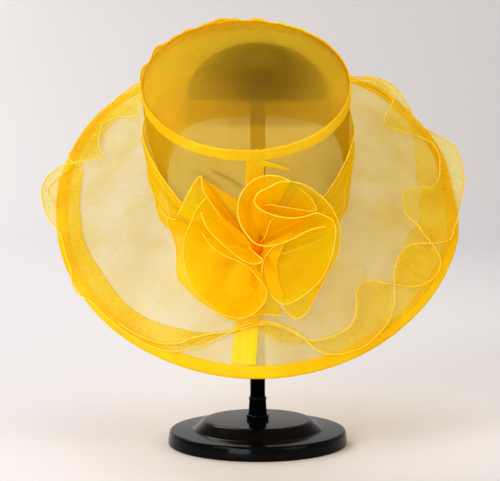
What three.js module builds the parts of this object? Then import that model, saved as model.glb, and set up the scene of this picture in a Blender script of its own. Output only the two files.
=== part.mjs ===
// Summer hat of translucent organza on a domed display stand.
// Millimetres, +Z up. The origin is the centre of the stand's underside, and the hat's front faces -Y.
import * as THREE from 'three';

// Stand sizes
const base = { radius: 84, height: 13.5, edge: 3, discFoot: 59, discTop: 48.5, discHeight: 9.5 };
const collar = { radius: 10.8, height: 4.5 };
const post = { lowerRadius: 8.3, stepHeight: 44, upperRadius: 7.1 };
const dome = { radius: 67, rise: 53, foot: 321.5, wall: 2.5 };

// Hat sizes. The hat's own frame has x to the viewer's right, y to the back and z up the crown.
const seat = { x: -2, y: 20, z: 250, tilt: 47 };
const opening = { halfWidth: 83, front: 96, back: 74, square: 0.7 };
const top = { radius: 91.2, height: 124, frontRise: 13, shiftX: -9, shiftY: 2.2 };
const drape = { wallClearance: 2.1, tipClearance: 1.1, below: 24, ease: 4 };
const brimSize = { radius: 194.5, drop: 60, shiftX: 1.5, shiftY: 11 };
const flare = { back: 0.045, backAngle: 132, backSpread: 26, front: 0.02, frontSpread: 40 };
const cloth = 1;
const gap = 0.3;
const layer = cloth + gap;
const binding = { above: 2.5, below: 10 };
const hemShare = 0.895;
const seamWidth = { crown: 16, brim: 22 };

const yellow = { hem: 0xfac81e, wall: 0xdcb43c, brim: 0xf0dea5, flower: 0xfab400 };
const organza = (color) => new THREE.MeshStandardMaterial({ color, roughness: 0.6, metalness: 0 });
const plastic = new THREE.MeshStandardMaterial({ color: 0x0b0b0c, roughness: 0.18, metalness: 0 });

const object = new THREE.Group();
const hat = new THREE.Group();
hat.position.set(seat.x, seat.y, seat.z);
hat.rotation.x = THREE.MathUtils.degToRad(seat.tilt);
object.add(hat);

const rad = THREE.MathUtils.degToRad;
const axisX = new THREE.Vector3(1, 0, 0);
const axisZ = new THREE.Vector3(0, 0, 1);
const domeFoot = new THREE.Vector3(0, 0, dome.foot);
const lerp = THREE.MathUtils.lerp;

function addMesh(parent, name, geometry, material) {
  const mesh = new THREE.Mesh(geometry, material);
  mesh.name = name;
  parent.add(mesh);
  return mesh;
}

// A smooth value between the rows of a table, by its first column.
function rowAt(rows, at, columns) {
  let k = 0;
  while (k < rows.length - 2 && rows[k + 1][columns[0]] <= at) k += 1;
  const a = rows[k];
  const b = rows[k + 1];
  const t = THREE.MathUtils.smoothstep(at, a[columns[0]], b[columns[0]]);
  const out = {};
  for (const c of columns) out[c] = lerp(a[c], b[c], t);
  return out;
}

// A sheet of cloth as a closed solid: pointAt(u, v) is its middle surface, u along and v across, both 0 to 1.
function sheet(along, across, pointAt, thickness = cloth, ring = false) {
  const columns = ring ? along : along + 1;
  const rows = across + 1;
  const middle = [];
  for (let i = 0; i < columns; i += 1) {
    for (let j = 0; j < rows; j += 1) middle.push(pointAt(i / along, j / across));
  }
  const at = (i, j) => middle[(ring ? (i + columns) % columns : THREE.MathUtils.clamp(i, 0, along)) * rows + j];
  const positions = [];
  const index = [];
  for (const side of [0.5, -0.5]) {
    for (let i = 0; i < columns; i += 1) {
      for (let j = 0; j < rows; j += 1) {
        const du = new THREE.Vector3().subVectors(at(i + 1, j), at(i - 1, j));
        const dv = new THREE.Vector3().subVectors(at(i, Math.min(j + 1, across)), at(i, Math.max(j - 1, 0)));
        const normal = new THREE.Vector3().crossVectors(du, dv).normalize();
        const p = at(i, j).clone().addScaledVector(normal, side * thickness);
        positions.push(p.x, p.y, p.z);
      }
    }
  }
  const far = columns * rows;
  const id = (i, j, side) => side * far + (i % columns) * rows + j;
  const quad = (a, b, c, d) => index.push(a, b, c, a, c, d);
  for (let i = 0; i < along; i += 1) {
    for (let j = 0; j < across; j += 1) {
      quad(id(i, j, 0), id(i + 1, j, 0), id(i + 1, j + 1, 0), id(i, j + 1, 0));
      quad(id(i, j, 1), id(i, j + 1, 1), id(i + 1, j + 1, 1), id(i + 1, j, 1));
    }
    quad(id(i, 0, 1), id(i + 1, 0, 1), id(i + 1, 0, 0), id(i, 0, 0));
    quad(id(i, across, 0), id(i + 1, across, 0), id(i + 1, across, 1), id(i, across, 1));
  }
  if (!ring) {
    for (let j = 0; j < across; j += 1) {
      quad(id(0, j, 0), id(0, j + 1, 0), id(0, j + 1, 1), id(0, j, 1));
      quad(id(along, j, 1), id(along, j + 1, 1), id(along, j + 1, 0), id(along, j, 0));
    }
  }
  const geometry = new THREE.BufferGeometry();
  geometry.setAttribute('position', new THREE.Float32BufferAttribute(positions, 3));
  geometry.setIndex(index);
  geometry.computeVertexNormals();
  return geometry;
}

// Stand

function turned(profile, segments) {
  const points = profile.map(([r, z]) => new THREE.Vector2(r, z));
  const geometry = new THREE.LatheGeometry(points, segments);
  geometry.rotateX(Math.PI / 2);
  return geometry;
}

const discLevel = base.height + base.discHeight;
const baseProfile = [
  [0, 0],
  [base.radius - 1.5, 0],
  [base.radius, 1.5],
  [base.radius, base.height - base.edge],
  [base.radius - 1, base.height - 0.9],
  [base.radius - base.edge, base.height],
  [base.discFoot + 3, base.height],
  [base.discFoot - 2, base.height + 1.5],
  [base.discTop + 3, discLevel - 2.5],
  [base.discTop, discLevel],
  [0, discLevel],
];
addMesh(object, 'stand_base', turned(baseProfile, 40), plastic);

const collarProfile = [
  [post.lowerRadius + gap, discLevel + gap],
  [collar.radius, discLevel + gap],
  [collar.radius - 0.6, discLevel + collar.height],
  [post.lowerRadius + gap, discLevel + collar.height],
  [post.lowerRadius + gap, discLevel + gap],
];
addMesh(object, 'stand_collar', turned(collarProfile, 24), plastic);

function rod(radius, from, to) {
  const geometry = new THREE.CylinderGeometry(radius, radius, to - from, 24);
  geometry.rotateX(Math.PI / 2);
  geometry.translate(0, 0, (from + to) / 2);
  return geometry;
}
addMesh(object, 'stand_lower_post', rod(post.lowerRadius, discLevel + gap, post.stepHeight), plastic);
const domeCeiling = dome.foot + dome.rise - dome.wall;
addMesh(object, 'stand_upper_post', rod(post.upperRadius, post.stepHeight + gap, domeCeiling - 1), plastic);

const domeProfile = [];
const domeSteps = 6;
for (let k = 0; k <= domeSteps; k += 1) {
  const a = (k / domeSteps) * (Math.PI / 2);
  domeProfile.push([dome.radius * Math.cos(a), dome.foot + dome.rise * Math.sin(a)]);
}
for (let k = domeSteps; k >= 0; k -= 1) {
  const a = (k / domeSteps) * (Math.PI / 2);
  domeProfile.push([(dome.radius - dome.wall) * Math.cos(a), dome.foot + (dome.rise - dome.wall) * Math.sin(a)]);
}
domeProfile.push(domeProfile[0]);
domeProfile[domeSteps][0] = 0;
domeProfile[domeSteps + 1][0] = 0;
addMesh(object, 'stand_dome', turned(domeProfile, 32), plastic);

// Crown. Angles run from the front (0) to the viewer's right (90) and the back (180).

// How far a line from inside the crown runs before it leaves the dome and the space that the cloth keeps from it.
// Below the dome's foot the cloth falls inwards along a flatter curve.
function domeReach(from, along, clearance) {
  const start = from.clone().applyAxisAngle(axisX, rad(seat.tilt)).add(hat.position).sub(domeFoot);
  const line = along.clone().applyAxisAngle(axisX, rad(seat.tilt));
  const round = dome.radius + clearance;
  for (const rise of [dome.rise + clearance, drape.below]) {
    const scale = new THREE.Vector3(1 / round, 1 / round, 1 / rise);
    const s = start.clone().multiply(scale);
    const d = line.clone().multiply(scale);
    const b = s.dot(d);
    const inside = b * b - d.lengthSq() * (s.lengthSq() - 1);
    if (inside < 0) return 0;
    const reach = (-b + Math.sqrt(inside)) / d.lengthSq();
    if (rise === drape.below || start.z + reach * line.z > 0) return reach;
  }
  return 0;
}

// The larger of two lengths, rounded where they are near each other.
function softMax(a, b) {
  return (a + b + Math.hypot(a - b, drape.ease)) / 2 - drape.ease * 0.1;
}

function tipHeight(x, y) {
  const flat = top.height - (top.frontRise * (y - top.shiftY)) / top.radius;
  const foot = new THREE.Vector3(x, y, 0);
  const inward = THREE.MathUtils.smoothstep(Math.hypot(x - top.shiftX, y - top.shiftY), top.radius * 0.55, top.radius);
  return lerp(softMax(flat, domeReach(foot, axisZ, drape.tipClearance)), flat, inward);
}

function rimHeight(angle) {
  return top.height + top.frontRise * Math.cos(rad(angle));
}

// A point on the crown's wall, out from its middle surface by offset.
function crownPoint(angle, z, offset) {
  const t = z / rimHeight(angle);
  const sin = Math.sin(rad(angle));
  const cos = Math.cos(rad(angle));
  // The opening is squarer at the back, where the cloth hangs from the dome.
  const power = 2 + opening.square * (1 - t) * (0.5 - 0.5 * cos);
  const full = (Math.abs(sin) ** power + Math.abs(cos) ** power) ** (-1 / power);
  const halfWidth = lerp(opening.halfWidth, top.radius, Math.min(1, 1.6 * t));
  const halfDepth = lerp((opening.front + opening.back) / 2, top.radius, t);
  const middle = new THREE.Vector3(top.shiftX * t, lerp((opening.back - opening.front) / 2, top.shiftY, t), z);
  const out = new THREE.Vector3(halfWidth * full * sin, -halfDepth * full * cos, 0);
  const length = out.length();
  out.normalize();
  const held = lerp(softMax(length, domeReach(middle, out, drape.wallClearance)), length, t ** 6);
  return middle.addScaledVector(out, held + offset);
}

const crownSide = sheet(48, 8, (u, v) => {
  const angle = -360 * u;
  const z = v ** 1.4 * (rimHeight(angle) - cloth / 2 - gap);
  return crownPoint(angle, z, 0);
}, cloth, true);
addMesh(hat, 'crown_side', crownSide, organza(yellow.wall));

function disc(segments, rings, radius, heightAt) {
  const profile = [];
  for (let k = 0; k <= rings; k += 1) profile.push(new THREE.Vector2((radius * k) / rings, -cloth / 2));
  for (let k = rings; k >= 0; k -= 1) profile.push(new THREE.Vector2((radius * k) / rings, cloth / 2));
  const geometry = new THREE.LatheGeometry(profile, segments);
  geometry.rotateX(Math.PI / 2);
  const place = geometry.attributes.position;
  for (let i = 0; i < place.count; i += 1) {
    const x = place.getX(i) + top.shiftX;
    const y = place.getY(i) + top.shiftY;
    place.setXYZ(i, x, y, place.getZ(i) + heightAt(x, y));
  }
  return geometry;
}
addMesh(hat, 'crown_tip', disc(48, 5, top.radius + cloth / 2, tipHeight), organza(yellow.wall));

const crownBinding = sheet(48, 1, (u, v) => {
  const angle = -360 * u;
  const rim = rimHeight(angle);
  return crownPoint(angle, rim + lerp(-binding.below, binding.above, v), layer);
}, cloth, true);
addMesh(hat, 'crown_binding', crownBinding, organza(yellow.hem));

// The front seam leans: its angle at the crown's foot, at the binding and at the brim's edge.
const seamAngle = { foot: -2.5, binding: 5, brimEdge: -4 };
const seamTop = rimHeight(0) - binding.below - gap;
const crownSeam = sheet(2, 6, (u, v) => {
  const z = lerp(2.5, seamTop, v);
  const halfAngle = (seamWidth.crown / 2 / top.radius) * (180 / Math.PI);
  const angle = lerp(seamAngle.foot, seamAngle.binding, v) + lerp(halfAngle, -halfAngle, u);
  return crownPoint(angle, Math.min(z, rimHeight(angle) - binding.below - gap), layer);
});
addMesh(hat, 'crown_seam', crownSeam, organza(yellow.hem));

// The loose end hangs from the binding's lower edge to the right of the seam.
const looseEnd = { fromAngle: 11, toAngle: 22, drop: 14, width: 3, lift: 3 };
const bindingEnd = sheet(5, 1, (u, v) => {
  const angle = lerp(looseEnd.fromAngle, looseEnd.toAngle, u);
  const z = rimHeight(angle) - binding.below - gap - looseEnd.width * v - looseEnd.drop * u ** 1.5;
  return crownPoint(angle, z, layer + looseEnd.lift * u);
});
addMesh(hat, 'binding_end', bindingEnd, organza(yellow.hem));

// Brim

// A point on the brim by angle and share of its length, lifted off its middle surface.
function brimPoint(angle, share, lift) {
  const a = rad(angle);
  const fromFront = Math.abs(THREE.MathUtils.euclideanModulo(angle + 180, 360) - 180);
  const back = flare.back * Math.exp(-(((fromFront - flare.backAngle) / flare.backSpread) ** 2));
  const front = flare.front * Math.exp(-((fromFront / flare.frontSpread) ** 2));
  const reach = brimSize.radius * (1 + back + front);
  const inner = crownPoint(angle, 0.5, 1.35);
  const outer = new THREE.Vector3(
    brimSize.shiftX + reach * Math.sin(a),
    brimSize.shiftY - reach * Math.cos(a),
    -brimSize.drop,
  );
  const slope = Math.atan2(brimSize.drop, brimSize.radius - opening.front);
  const up = new THREE.Vector3(
    Math.sin(slope) * Math.sin(a),
    -Math.sin(slope) * Math.cos(a),
    Math.cos(slope),
  );
  return inner.lerp(outer, share).addScaledVector(up, lift);
}

const brim = sheet(54, 3, (u, v) => brimPoint(-360 * u, 1 - v, 0), cloth, true);
addMesh(hat, 'brim', brim, organza(yellow.brim));

const brimHem = sheet(54, 1, (u, v) => brimPoint(-360 * u, lerp(0.998, hemShare, v), layer), cloth, true);
addMesh(hat, 'brim_hem', brimHem, organza(yellow.hem));

const brimSeam = sheet(2, 5, (u, v) => {
  const share = lerp(hemShare - 0.006, 0.02, v);
  const radius = lerp(opening.front, brimSize.radius, share);
  const halfAngle = (seamWidth.brim / 2 / radius) * (180 / Math.PI);
  const angle = lerp(seamAngle.foot, seamAngle.brimEdge, share) + lerp(halfAngle, -halfAngle, u);
  return brimPoint(angle, share, layer);
});
addMesh(hat, 'brim_seam', brimSeam, organza(yellow.hem));

// Hat band, by angle from the front: heights of both edges on the wall and how far it stands off.
const bandRows = [
  { angle: -180, low: 5, high: 44, out: 8.5 },
  { angle: -115, low: 4, high: 62, out: 6 },
  { angle: -88, low: 3, high: 74, out: 10 },
  { angle: -68, low: 4, high: 78, out: 7 },
  { angle: -50, low: 9, high: 62, out: 4.5 },
  { angle: -38, low: 14, high: 46, out: 3.4 },
  { angle: 0, low: 14, high: 34, out: 3.2 },
  { angle: 36, low: 14, high: 46, out: 3.4 },
  { angle: 50, low: 9, high: 60, out: 4 },
  { angle: 68, low: 4, high: 76, out: 4.2 },
  { angle: 98, low: 3, high: 66, out: 4 },
  { angle: 180, low: 5, high: 44, out: 8.5 },
];
const hatBand = sheet(48, 5, (u, v) => {
  const angle = 180 - 360 * u;
  const row = rowAt(bandRows, angle, ['angle', 'low', 'high', 'out']);
  const bulge = lerp(3.1, row.out, Math.sin(Math.PI * lerp(0.12, 0.8, v)));
  return crownPoint(angle, lerp(row.low, row.high, v), bulge);
}, cloth, true);
addMesh(hat, 'hat_band', hatBand, organza(yellow.hem));

// Ruffle, a row for each turn of the ribbon: share of the brim's length and lift of its two edges.
const ruffleRows = [
  { angle: 1, inner: 0.56, innerLift: 6, outer: 0.67, outerLift: 4 },
  { angle: 7, inner: 0.58, innerLift: 8, outer: 0.7, outerLift: 4 },
  { angle: 13, inner: 0.68, innerLift: 10, outer: 0.79, outerLift: 5 },
  { angle: 24, inner: 0.79, innerLift: 7, outer: 0.95, outerLift: 6 },
  { angle: 30, inner: 0.76, innerLift: 8, outer: 0.95, outerLift: 6 },
  { angle: 36, inner: 0.61, innerLift: 12, outer: 0.92, outerLift: 6 },
  { angle: 42, inner: 0.49, innerLift: 14, outer: 0.88, outerLift: 7 },
  { angle: 52, inner: 0.65, innerLift: 10, outer: 0.77, outerLift: 8 },
  { angle: 62, inner: 0.57, innerLift: 12, outer: 0.92, outerLift: 6 },
  { angle: 74, inner: 0.69, innerLift: 10, outer: 0.82, outerLift: 8 },
  { angle: 80, inner: 0.58, innerLift: 12, outer: 0.95, outerLift: 6 },
  { angle: 88, inner: 0.49, innerLift: 14, outer: 1.0, outerLift: 6 },
  { angle: 96, inner: 0.7, innerLift: 10, outer: 1.07, outerLift: 8 },
  { angle: 103, inner: 0.86, innerLift: 7, outer: 1.12, outerLift: 8 },
  { angle: 112, inner: 0.9, innerLift: 7, outer: 1.17, outerLift: 8 },
  { angle: 118, inner: 0.8, innerLift: 7, outer: 1.06, outerLift: 6 },
  { angle: 126, inner: 0.6, innerLift: 9, outer: 0.99, outerLift: 5 },
  { angle: 133, inner: 0.8, innerLift: 8, outer: 1.08, outerLift: 7 },
  { angle: 142, inner: 0.92, innerLift: 9, outer: 1.17, outerLift: 6 },
  { angle: 149, inner: 0.84, innerLift: 8, outer: 1.05, outerLift: 6 },
  { angle: 168, inner: 0.6, innerLift: 10, outer: 0.96, outerLift: 6 },
  { angle: 185, inner: 0.8, innerLift: 8, outer: 1.08, outerLift: 7 },
  { angle: 203, inner: 0.62, innerLift: 10, outer: 0.97, outerLift: 6 },
  { angle: 217, inner: 0.82, innerLift: 8, outer: 1.06, outerLift: 6 },
  { angle: 229, inner: 0.6, innerLift: 8, outer: 0.98, outerLift: 5 },
  { angle: 238, inner: 0.8, innerLift: 6, outer: 0.99, outerLift: 5 },
  { angle: 251, inner: 0.66, innerLift: 10, outer: 1.03, outerLift: 8 },
  { angle: 257, inner: 0.9, innerLift: 12, outer: 1.12, outerLift: 8 },
  { angle: 266, inner: 0.9, innerLift: 10, outer: 1.12, outerLift: 7 },
  { angle: 278, inner: 0.78, innerLift: 5, outer: 0.99, outerLift: 5 },
  { angle: 294, inner: 0.76, innerLift: 4, outer: 0.98, outerLift: 4.5 },
  { angle: 300, inner: 0.76, innerLift: 4, outer: 1.02, outerLift: 5 },
  { angle: 307, inner: 0.75, innerLift: 4, outer: 0.97, outerLift: 4.5 },
  { angle: 332, inner: 0.75, innerLift: 4, outer: 0.94, outerLift: 4.5 },
  { angle: 340, inner: 0.73, innerLift: 6, outer: 0.85, outerLift: 5 },
  { angle: 351, inner: 0.59, innerLift: 7, outer: 0.7, outerLift: 5 },
  { angle: 358.4, inner: 0.55, innerLift: 6, outer: 0.66, outerLift: 4 },
];
const ruffleColumns = ['angle', 'inner', 'innerLift', 'outer', 'outerLift'];
const sewn = { overBrim: 1.6, overHem: 3.6 };
const ruffle = sheet(90, 2, (u, v) => {
  const angle = lerp(ruffleRows[0].angle, ruffleRows.at(-1).angle, u);
  const row = rowAt(ruffleRows, angle, ruffleColumns);
  const middle = Math.min((row.inner + row.outer) / 2, 0.96);
  const sewnLift = middle > hemShare - 0.06 ? sewn.overHem : sewn.overBrim;
  const onSeam = Math.min(angle, 360 - angle) < 11 ? layer : 0;
  if (v === 0) return brimPoint(angle, row.inner, row.innerLift + onSeam);
  if (v === 1) return brimPoint(angle, row.outer, Math.max(row.outerLift, sewnLift) + onSeam);
  return brimPoint(angle, middle, sewnLift + onSeam);
});
addMesh(hat, 'ruffle', ruffle, organza(yellow.hem));

// Flower. Its places are given across to the viewer's right, up, and out towards the viewer.
const flower = new THREE.Group();
flower.position.set(2.6, -95, 195.5);
object.add(flower);

// The heart's back lies flat against the hat band, which leans out as it rises.
const heart = { across: -3, up: -4, radius: 9, front: -2, back: -28.9, lean: 0.94 };

const heartGeometry = new THREE.CylinderGeometry(heart.radius, heart.radius, 2, 16);
const heartPlace = heartGeometry.attributes.position;
for (let i = 0; i < heartPlace.count; i += 1) {
  const up = heart.up - heartPlace.getZ(i);
  const out = heartPlace.getY(i) > 0 ? heart.front : heart.back + heart.lean * up;
  heartPlace.setXYZ(i, heart.across + heartPlace.getX(i), -out, up);
}
addMesh(flower, 'flower_heart', heartGeometry, organza(yellow.flower));

// Each petal is a ribbon gathered at the heart. Its root runs round the heart's side between two angles,
// or round a spot on its front, and its rim is the rolled edge, in rows of across, up and out.
const petals = [
  {
    name: 'petal_cup',
    spot: { across: -6, up: -1, radius: 2.5, out: -1.1 },
    rim: [
      [16, 61, 31], [6, 62, 31], [-5, 59, 30], [-15, 50, 28], [-20, 38, 26], [-19, 23, 26], [-13, 12, 28],
      [-5, 4, 31], [4, 2, 33], [16, 4, 33], [29, 9, 31], [41, 15, 28], [55, 18, 23],
    ],
  },
  {
    name: 'petal_loop',
    spot: { across: 2, up: 0, radius: 2.2, out: -1.1 },
    rim: [
      [24, 57, 36], [16, 57, 36], [6, 52, 35], [-3, 47, 33], [-6, 40, 32], [-3, 35, 34], [6, 30, 35],
      [16, 27, 35], [26, 26, 34], [36, 27, 33], [47, 30, 31], [55, 27, 28], [61, 24, 25],
    ],
  },
  {
    name: 'petal_right_back',
    side: { from: 60, to: -58, outFrom: -17, outTo: -22 },
    rim: [
      [24, 57, 28], [36, 54, 26], [47, 47, 22], [56, 39, 18], [62, 31, 14], [68, 16, 7], [68, 0, 0],
      [65, -14, -5], [57, -28, -11], [49, -43, -18], [41, -55, -24], [39, -63, -27], [31, -69, -30], [22, -62, -31],
    ],
  },
  {
    name: 'petal_right_round',
    side: { from: 10, to: -50, outFrom: -13, outTo: -8 },
    rim: [
      [61, 24, 19], [64, 16, 16], [63, 1, 10], [59, -16, 4], [52, -31, -2], [38, -45, -9], [22, -54, -14],
      [14, -51, -15], [6, -41, -14], [1, -29, -11], [2, -18, -5], [8, -11, 0], [14, -9, 4],
    ],
  },
  {
    name: 'petal_pointed',
    side: { from: 156, to: 136, outFrom: -12, outTo: -10 },
    rim: [
      [-72, 27, 8], [-67, 38, 12], [-60, 51, 17], [-52, 61, 21], [-50, 49, 19], [-43, 37, 15], [-33, 23, 10],
      [-21, 12, 2], [-15, 6, -4],
    ],
  },
  {
    name: 'petal_leaf',
    side: { from: 172, to: 196, outFrom: -7, outTo: -3 },
    rim: [[-52, 30, 24], [-46, 16, 24], [-35, 4, 22], [-25, -5, 18], [-16, -13, 13], [-8, -17, 10]],
  },
  {
    name: 'petal_left_large',
    side: { from: 150, to: 228, outFrom: -17, outTo: -11 },
    rim: [
      [-49, 40, 4], [-58, 30, 0], [-64, 17, -2], [-67, 4, -5], [-68, -11, -9], [-64, -29, -14], [-56, -44, -19],
      [-45, -55, -23], [-35, -64, -26], [-20, -68, -27], [-9, -65, -25], [0, -57, -20], [5, -47, -14],
      [3, -37, -8], [-4, -28, -2], [-10, -20, 3], [-17, -15, 7], [-30, -9, 11], [-43, 0, 13], [-51, 11, 12],
    ],
  },
  {
    name: 'petal_left_back',
    side: { from: 168, to: 280, outFrom: -23, outTo: -25 },
    rim: [
      [-75, 21, -14], [-82, 22, -16], [-82, 15, -17], [-79, 9, -18], [-75, -8, -22], [-74, -32, -28],
      [-67, -41, -31], [-54, -54, -33], [-39, -64, -34], [-26, -71, -34], [-4, -66, -34], [8, -65, -35],
    ],
  },
  {
    name: 'petal_top_back',
    side: { from: 125, to: 100, outFrom: -15.5, outTo: -16 },
    rim: [[-51, 57, 14], [-43, 54, 14], [-36, 49, 13], [-27, 44, 13], [-21, 40, 13]],
  },
];

function heartSide(angle, out) {
  const radius = heart.radius + gap + cloth / 2;
  return new THREE.Vector3(heart.across + radius * Math.cos(rad(angle)), -out, heart.up + radius * Math.sin(rad(angle)));
}

function petalSheet({ spot, side, rim }) {
  const edge = new THREE.CatmullRomCurve3(rim.map(([across, up, out]) => new THREE.Vector3(across, -out, up)));
  return sheet(rim.length > 9 ? 20 : 12, 4, (u, v) => {
    const end = edge.getPointAt(u);
    let root;
    if (spot) {
      const away = Math.atan2(end.z - spot.up, end.x - spot.across);
      const x = spot.across + spot.radius * Math.cos(away);
      const z = spot.up + spot.radius * Math.sin(away);
      root = new THREE.Vector3(x, -spot.out, z);
    } else {
      root = heartSide(lerp(side.from, side.to, u), lerp(side.outFrom, side.outTo, u));
    }
    const place = root.clone().lerp(end, v);
    place.y = lerp(root.y, end.y, v ** 1.3);
    return place;
  });
}
for (const petal of petals) addMesh(flower, petal.name, petalSheet(petal), organza(yellow.flower));

export default object;
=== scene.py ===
import math

import bmesh
import bpy
import numpy as np
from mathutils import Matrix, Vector


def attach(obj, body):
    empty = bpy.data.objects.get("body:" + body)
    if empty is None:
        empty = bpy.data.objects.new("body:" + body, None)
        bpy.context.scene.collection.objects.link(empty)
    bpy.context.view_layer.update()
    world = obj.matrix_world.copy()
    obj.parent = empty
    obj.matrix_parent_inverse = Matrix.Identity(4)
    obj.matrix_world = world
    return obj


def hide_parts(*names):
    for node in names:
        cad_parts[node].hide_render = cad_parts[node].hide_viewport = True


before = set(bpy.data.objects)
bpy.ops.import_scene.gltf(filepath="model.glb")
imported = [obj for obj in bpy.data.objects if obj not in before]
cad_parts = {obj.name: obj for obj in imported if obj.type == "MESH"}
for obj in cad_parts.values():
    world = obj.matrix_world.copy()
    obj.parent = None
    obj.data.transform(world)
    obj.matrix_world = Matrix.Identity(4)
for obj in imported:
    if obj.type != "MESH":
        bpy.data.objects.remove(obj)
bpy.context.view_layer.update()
print("frame loaded")

# Lengths in the tables are millimetres, as on a pattern; meshes are made in metres.
milli = 0.001


# Camera

camera = {"place": (-7.2, -1500, 321.5), "pitch": 4.97, "lens": 116.35}
cameraData = bpy.data.cameras.new("camera")
cameraData.lens = camera["lens"]
cameraData.sensor_width = 36
cameraData.clip_end = 50
cameraObject = bpy.data.objects.new("camera", cameraData)
cameraObject.location = Vector(camera["place"]) * milli
cameraObject.rotation_euler = (math.radians(90 - camera["pitch"]), 0, 0)
bpy.context.collection.objects.link(cameraObject)
bpy.context.scene.camera = cameraObject


# Working with tables and patterns

def ease(low, high, x):
    t = np.clip((x - low) / (high - low), 0, 1)
    return t * t * (3 - 2 * t)


def between(a, b, t):
    return a + (b - a) * t


def through(rows, column, at):  # a smooth curve through one column of a table, by its first column
    xs = np.array([row[0] for row in rows], float)
    ys = np.array([row[column] for row in rows], float)
    slope = np.gradient(ys, xs)
    k = np.clip(np.searchsorted(xs, at, side="right") - 1, 0, len(xs) - 2)
    span = xs[k + 1] - xs[k]
    t = np.clip((at - xs[k]) / span, 0, 1)
    near = (1 + 2 * t) * (1 - t) ** 2 * ys[k] + t * (1 - t) ** 2 * span * slope[k]
    far = t * t * (3 - 2 * t) * ys[k + 1] + t * t * (t - 1) * span * slope[k + 1]
    return near + far


def waves(points, size, seed, squash=(1, 1, 1)):  # a soft random pattern in space, about -1.5 to 1.5
    random = np.random.default_rng(seed)
    total = 0
    for _ in range(9):
        heading = random.normal(size=3)
        heading /= np.linalg.norm(heading) * size * random.uniform(0.6, 1.5)
        total = total + np.sin(2 * math.pi * (points @ (heading * squash)) + random.uniform(0, 6.3))
    return total / 2.1


def creases(points, size, seed, squash=(1, 1, 1)):  # thin raised lines where the pattern turns
    return np.exp(-(waves(points, size, seed, squash) / 0.16) ** 2)


# Making cloth

def linked(name, mesh, materials):
    made = bpy.data.objects.new(name, mesh)
    bpy.context.collection.objects.link(made)
    for material in materials:
        mesh.materials.append(material)
    return made


layerThick = 0.3


def cloth(name, columns, rows, place, size, material, cutAt=None, shadeAt=None):  # size: width and length, in metres
    shape = bmesh.new()
    bmesh.ops.create_grid(shape, x_segments=columns, y_segments=rows, size=0.5)
    shape.verts.ensure_lookup_table()
    flat = np.array([v.co for v in shape.verts])
    u, v = np.clip(flat[:, 0] + 0.5, 0, 1), np.clip(flat[:, 1] + 0.5, 0, 1)
    cut = cutAt(u, v) if cutAt else np.stack([u * size[1], v * size[0]], axis=-1)
    layer = shape.loops.layers.uv.new("cut")
    for face in shape.faces:
        for loop in face.loops:
            loop[layer].uv = cut[loop.vert.index]
    points = place(u, v)
    for vert, point in zip(shape.verts, points * milli):
        vert.co = point
    if shadeAt:
        shade = shape.verts.layers.float.new("shaded")
        for vert, share in zip(shape.verts, shadeAt(points)):
            vert[shade] = share
    bmesh.ops.remove_doubles(shape, verts=shape.verts, dist=0.00001)
    mesh = bpy.data.meshes.new(name)
    shape.to_mesh(mesh)
    shape.free()
    mesh.shade_smooth()
    made = linked(name, mesh, [material])
    wall = made.modifiers.new("wall", "SOLIDIFY")
    wall.thickness = layerThick * milli
    wall.offset = 0
    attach(made, "root")
    return made


def rolled(name, points, radius, material, closed=False):  # a rolled edge with a line of nylon in it
    curve = bpy.data.curves.new(name, "CURVE")
    curve.dimensions = "3D"
    curve.bevel_depth = radius * milli
    curve.bevel_resolution = 2
    curve.use_fill_caps = True
    spline = curve.splines.new("POLY")
    spline.points.add(len(points) - 1)
    for spot, point in zip(spline.points, points * milli):
        spot.co = (*point, 1)
    spline.use_cyclic_u = closed
    holder = bpy.data.objects.new(name, curve)
    bpy.context.collection.objects.link(holder)
    mesh = bpy.data.meshes.new_from_object(holder.evaluated_get(bpy.context.evaluated_depsgraph_get()))
    mesh.name = name
    bpy.data.objects.remove(holder)
    bpy.data.curves.remove(curve)
    mesh.shade_smooth()
    mesh.materials.clear()
    made = linked(name, mesh, [material])
    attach(made, "root")
    return made


# Materials

def newMaterial(name):
    material = bpy.data.materials.new(name)
    material.use_nodes = True
    tree = material.node_tree
    tree.nodes.clear()
    output = tree.nodes.new("ShaderNodeOutputMaterial")
    return material, tree, output


def join(tree, fromSocket, toSocket):
    tree.links.new(fromSocket, toSocket)


def ramped(tree, source, low, high, lowColor, highColor):
    ramp = tree.nodes.new("ShaderNodeValToRGB")
    ramp.color_ramp.elements[0].position = low
    ramp.color_ramp.elements[1].position = high
    ramp.color_ramp.elements[0].color = (*lowColor, 1)
    ramp.color_ramp.elements[1].color = (*highColor, 1)
    join(tree, source, ramp.inputs["Fac"])
    return ramp.outputs["Color"]


def feed(tree, part, socket):  # a plain number is set on the socket, and what varies is joined to it
    if isinstance(part, (int, float)):
        socket.default_value = part
    else:
        join(tree, part, socket)


def mixed(tree, share, first, second):
    mix = tree.nodes.new("ShaderNodeMixShader")
    for part, socket in zip((share, first, second), mix.inputs):
        feed(tree, part, socket)
    return mix.outputs["Shader"]


def reckoned(tree, operation, *parts):  # sums on patterns that vary over the piece
    node = tree.nodes.new("ShaderNodeMath")
    node.operation = operation
    for part, socket in zip(parts, node.inputs):
        feed(tree, part, socket)
    return node.outputs["Value"]


def ranged(tree, source, inRange, outRange):
    node = tree.nodes.new("ShaderNodeMapRange")
    for end, number in zip(("From Min", "From Max", "To Min", "To Max"), (*inRange, *outRange)):
        node.inputs[end].default_value = number
    join(tree, source, node.inputs["Value"])
    return node.outputs["Result"]


def bumped(tree, height, bump, shaders):  # bump: its strength, and its depth in millimetres
    node = tree.nodes.new("ShaderNodeBump")
    node.inputs["Strength"].default_value = bump[0]
    node.inputs["Distance"].default_value = bump[1] * milli
    join(tree, height, node.inputs["Height"])
    for shader in shaders:
        join(tree, node.outputs["Normal"], shader.inputs["Normal"])


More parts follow.
